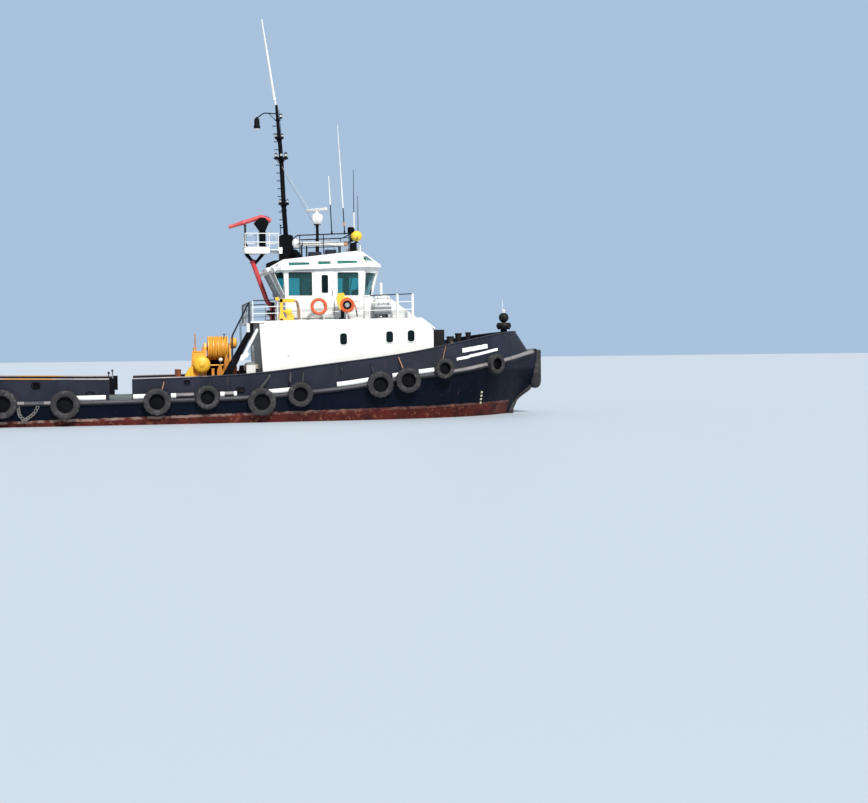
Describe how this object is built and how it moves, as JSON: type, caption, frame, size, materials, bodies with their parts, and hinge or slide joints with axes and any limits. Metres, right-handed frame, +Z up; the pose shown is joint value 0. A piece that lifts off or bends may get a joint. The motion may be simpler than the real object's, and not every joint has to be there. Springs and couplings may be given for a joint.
{
  "type": "harbour tug",
  "caption": "Twin-screw harbour tug with hung tyre fenders, wheelhouse, raked mast, fire monitor, towing winch and steered rudders behind nozzles.",
  "frame": {"origin": "on the waterline, amidships, on the centreline", "axes": "+X to the bow, +Y to port, +Z up"},
  "size_m": [26.5581, 8.6412, 20.815],
  "materials": {
    "hull_paint": "weathered satin",
    "bulwark_paint": "weathered satin",
    "white_paint": "gloss, slightly rust-streaked",
    "black_paint": "satin",
    "red_paint": "gloss",
    "yellow_paint": "worn gloss",
    "rusty_paint": "rusted matt",
    "deck_paint": "matt non-slip",
    "rubber": "matt",
    "window_glass": "tinted",
    "white_plastic": "gloss",
    "chair_cover": "satin",
    "wire": "dull",
    "bronze": "polished and tarnished"
  },
  "bodies": {
    "boat": {"hull": "hull_paint", "bulwark_forward": "bulwark_paint", "bulwark_aft": "bulwark_paint", "fender_belt_starboard": "rubber", "fender_belt_port": "rubber", "stem_fender": "rubber", "house_side_starboard": "white_paint", "house_side_port": "white_paint", "house_front": "white_paint", "house_aft": "white_paint", "boat_deck": "deck_paint", "forward_trunk": "white_paint", "wheelhouse_side_starboard": "white_paint", "wheelhouse_side_port": "white_paint", "wheelhouse_front": "white_paint", "wheelhouse_aft": "white_paint", "wheelhouse_roof": "white_paint", "glass_forward": "window_glass", "glass_aft": "window_glass", "helm_console": "black_paint", "helm_chair": "chair_cover", "mast": "black_paint", "stay_starboard": "wire", "stay_port": "wire", "radar_pedestal": "black_paint", "roof_rail": "black_paint", "satellite_dome": "white_plastic", "searchlight_post": "black_paint", "monitor_platform": "white_paint", "fire_main": "red_paint", "railing_starboard": "white_paint", "railing_port": "white_paint", "railing_aft": "white_paint", "stair_starboard": "black_paint", "liferaft_starboard": "white_plastic", "liferaft_port": "white_plastic", "hose_box_starboard": "yellow_paint", "hose_reel_starboard": "yellow_paint", "winch_frame": "yellow_paint", "tow_bitt": "rusty_paint", "fore_locker": "black_paint", "fore_bollards": "black_paint", "bow_bitt": "black_paint", "vent_starboard": "white_paint", "nozzle_starboard": "hull_paint", "nozzle_port": "hull_paint"},
    "screw_starboard": {"propeller_starboard": "bronze"},
    "screw_port": {"propeller_port": "bronze"},
    "steering_starboard": {"rudder_starboard": "hull_paint"},
    "steering_port": {"rudder_port": "hull_paint"},
    "radar": {"radar_scanner": "white_paint"},
    "tow_drum": {"winch_drum": "yellow_paint"},
    "monitor_head": {"monitor_swivel": "black_paint"},
    "monitor_tube": {"monitor_barrel": "red_paint"},
    "light": {"searchlight": "yellow_paint"},
    "door_starboard": {"wheelhouse_door_starboard": "white_paint"},
    "door_port": {"wheelhouse_door_port": "white_paint"},
    "door_aft": {"house_door": "white_paint"}
  },
  "joints": [
    {"name": "propeller_starboard_spin", "type": "hinge", "parent": "boat", "child": "screw_starboard", "pos_m": [-10.3, -1.65, -1.8], "axis": [1, 0, 0], "continuous": true},
    {"name": "propeller_port_spin", "type": "hinge", "parent": "boat", "child": "screw_port", "pos_m": [-10.3, 1.65, -1.8], "axis": [1, 0, 0], "continuous": true},
    {"name": "rudder_starboard_turn", "type": "hinge", "parent": "boat", "child": "steering_starboard", "pos_m": [-11.48, -1.65, -1.8], "axis": [0, 0, 1], "range_deg": [-40, 40]},
    {"name": "rudder_port_turn", "type": "hinge", "parent": "boat", "child": "steering_port", "pos_m": [-11.48, 1.65, -1.8], "axis": [0, 0, 1], "range_deg": [-40, 40]},
    {"name": "radar_turn", "type": "hinge", "parent": "boat", "child": "radar", "pos_m": [2.74, 0, 9.4], "axis": [0, 0, 1], "continuous": true},
    {"name": "drum_turn", "type": "hinge", "parent": "boat", "child": "tow_drum", "pos_m": [-1.85, 0, 3.18], "axis": [1, 0, 0], "continuous": true},
    {"name": "monitor_train", "type": "hinge", "parent": "boat", "child": "monitor_head", "pos_m": [0.25, 0, 8.4], "axis": [0, 0, 1], "range_deg": [-150, 150]},
    {"name": "monitor_elevate", "type": "hinge", "parent": "monitor_head", "child": "monitor_tube", "pos_m": [0.25, 0, 8.93], "axis": [0, 1, 0], "range_deg": [0, 60]},
    {"name": "searchlight_turn", "type": "hinge", "parent": "boat", "child": "light", "pos_m": [4.43, -0.6, 8.2], "axis": [0, 0, 1], "range_deg": [-170, 170]},
    {"name": "door_starboard_slide", "type": "slide", "parent": "boat", "child": "door_starboard", "axis": [-1, 0, 0], "range_m": [0, 0.85]},
    {"name": "door_port_slide", "type": "slide", "parent": "boat", "child": "door_port", "axis": [-1, 0, 0], "range_m": [0, 0.85]},
    {"name": "door_aft_swing", "type": "hinge", "parent": "boat", "child": "door_aft", "pos_m": [-0.1425, 1.395, 2.28], "axis": [0.0591, 0, -0.9983], "range_deg": [0, 110]}
  ],
  "couplings": [
    {"joint": "rudder_port_turn", "follows": "rudder_starboard_turn", "ratio": 1}
  ]
}
